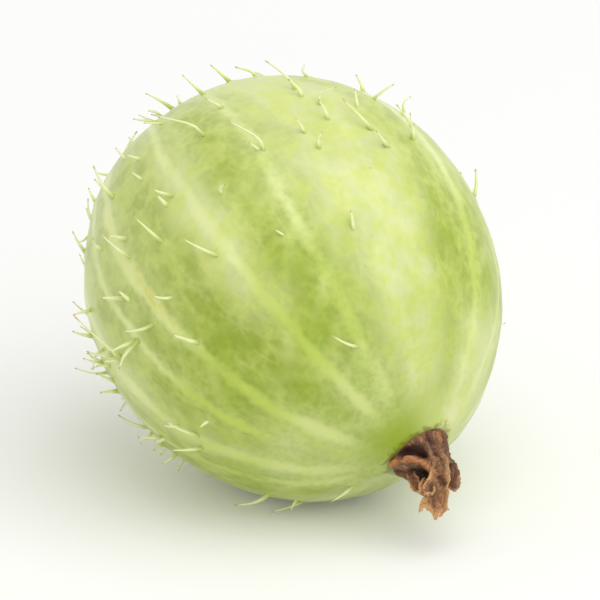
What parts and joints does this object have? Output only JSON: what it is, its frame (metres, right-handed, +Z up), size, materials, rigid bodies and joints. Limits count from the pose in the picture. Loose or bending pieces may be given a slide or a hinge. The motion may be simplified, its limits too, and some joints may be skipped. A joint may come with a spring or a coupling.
{
  "type": "gooseberry",
  "caption": "One ripe green gooseberry lying on a small flat spot, with its withered flower on the lower end and a short stump of stalk on the upper end.",
  "frame": {"origin": "middle of the small flat spot on the skin that the berry rests on", "axes": "+X towards the flower end, which points 29 degrees below the horizontal; the berry's own axis lies in the X-Z plane; +Z up"},
  "size_m": [0.0274, 0.023, 0.0232],
  "materials": {
    "skin": "smooth, slightly waxy, translucent skin; satin",
    "bristle": "soft translucent bristles with a red-brown gland at the tip",
    "floral_tube": "withered, wrinkled, matt",
    "sepal": "dry, papery, fibrous, matt",
    "style": "dry thread, matt",
    "stalk": "fibrous green stalk with a dried, torn end"
  },
  "bodies": {
    "root": {"berry": "skin", "floral_tube": "floral_tube", "sepal_1": "sepal", "sepal_2": "sepal", "sepal_3": "sepal", "sepal_4": "sepal", "sepal_5": "sepal", "style": "style", "stalk_stump": "stalk"}
  },
  "joints": []
}
